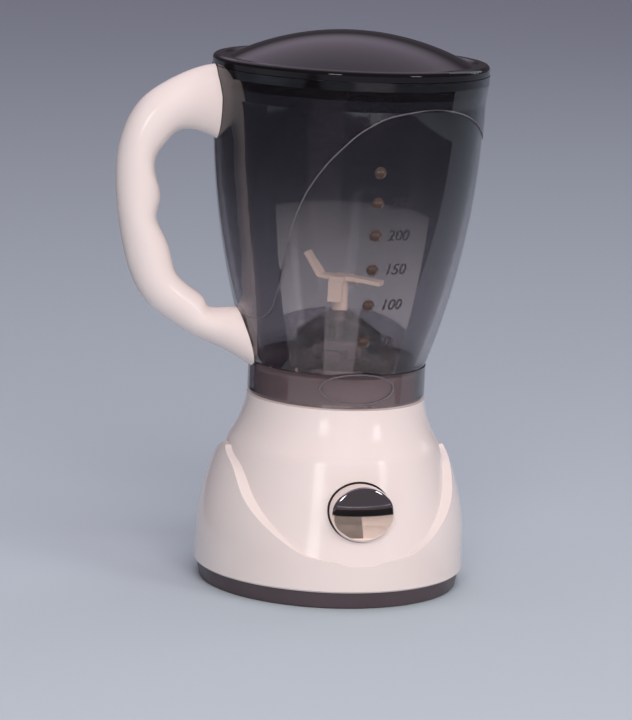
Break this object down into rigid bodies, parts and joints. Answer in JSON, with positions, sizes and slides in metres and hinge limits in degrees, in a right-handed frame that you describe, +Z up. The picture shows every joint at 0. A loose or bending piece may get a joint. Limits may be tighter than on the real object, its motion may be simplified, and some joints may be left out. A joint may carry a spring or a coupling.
{
  "type": "toy blender",
  "caption": "Battery-powered toy blender: cream base with a push button, smoky jug with a handle and a turning blade, and a dark domed lid.",
  "frame": {"origin": "centre of the flat underside, on the surface the toy stands on", "axes": "+Z up along the motor shaft, -Y towards the push button, -X towards the handle"},
  "size_m": [0.1308, 0.0973, 0.1963],
  "materials": {
    "cream_plastic": "glossy warm cream moulded plastic",
    "foot_plastic": "dark purple-grey moulded plastic, soft gloss",
    "smoky_plastic": "smoky see-through moulded plastic",
    "lid_plastic": "near-black glossy plastic with a purple cast",
    "blade_plastic": "ivory moulded plastic",
    "button_chrome": "bright vacuum-plated plastic",
    "screw_steel": "zinc-plated steel",
    "spindle_steel": "ground steel",
    "motor_steel": "plated deep-drawn can",
    "motor_iron": "stacked iron sheets, lacquered",
    "motor_ferrite": "sintered ferrite",
    "commutator_copper": "turned copper on a plastic drum",
    "motor_cap_plastic": "white moulded plastic",
    "inner_plastic": "unpolished moulded plastic",
    "coupling_plastic": "white low-friction moulded plastic",
    "switch_plastic": "black moulded plastic",
    "cell_jacket": "plain wrapped cell; density close to a real alkaline cell",
    "contact_nickel": "nickel-plated spring steel",
    "bush_acetal": "grey low-friction moulded plastic"
  },
  "bodies": {
    "base": {"base_housing": "cream_plastic", "bottom_cover": "foot_plastic", "cover_screws": "screw_steel", "battery_door": "foot_plastic", "battery_door_screw": "screw_steel", "battery_cell_front": "cell_jacket", "battery_cell_rear": "cell_jacket", "bridge_contact": "contact_nickel", "terminal_contacts": "contact_nickel", "contact_springs": "contact_nickel", "motor_can": "motor_steel", "motor_magnets": "motor_ferrite", "motor_end_cap": "motor_cap_plastic", "motor_clamp": "inner_plastic", "motor_clamp_screws": "screw_steel", "switch_case": "switch_plastic", "switch_bracket": "inner_plastic", "switch_bracket_screws": "screw_steel"},
    "drive": {"drive_coupling": "coupling_plastic", "motor_shaft": "spindle_steel", "motor_armature": "motor_iron", "motor_commutator": "commutator_copper"},
    "button": {"push_button": "button_chrome", "switch_plunger": "switch_plastic"},
    "jug": {"jug_body": "smoky_plastic", "handle_front": "cream_plastic", "handle_rear": "cream_plastic", "handle_screws": "screw_steel", "spindle_bush": "bush_acetal"},
    "blade": {"blade_rotor": "blade_plastic", "blade_spindle": "spindle_steel", "driven_coupling": "coupling_plastic"},
    "lid": {"lid": "lid_plastic"}
  },
  "joints": [
    {"name": "drive_spin", "type": "hinge", "parent": "base", "child": "drive", "pos_m": [0, 0, 0.08], "axis": [0, 0, 1], "continuous": true},
    {"name": "button_press", "type": "slide", "parent": "base", "child": "button", "axis": [0, 1, 0], "range_m": [0, 0.002], "stiffness_N_per_m": 500},
    {"name": "jug_lift", "type": "slide", "parent": "base", "child": "jug", "axis": [0, 0, 1], "range_m": [0, 0.03]},
    {"name": "blade_spin", "type": "hinge", "parent": "jug", "child": "blade", "pos_m": [0, 0, 0.1], "axis": [0, 0, 1], "continuous": true},
    {"name": "lid_lift", "type": "slide", "parent": "jug", "child": "lid", "axis": [0, 0, 1], "range_m": [0, 0.03]}
  ],
  "couplings": [
    {"joint": "blade_spin", "follows": "drive_spin", "ratio": 1}
  ]
}
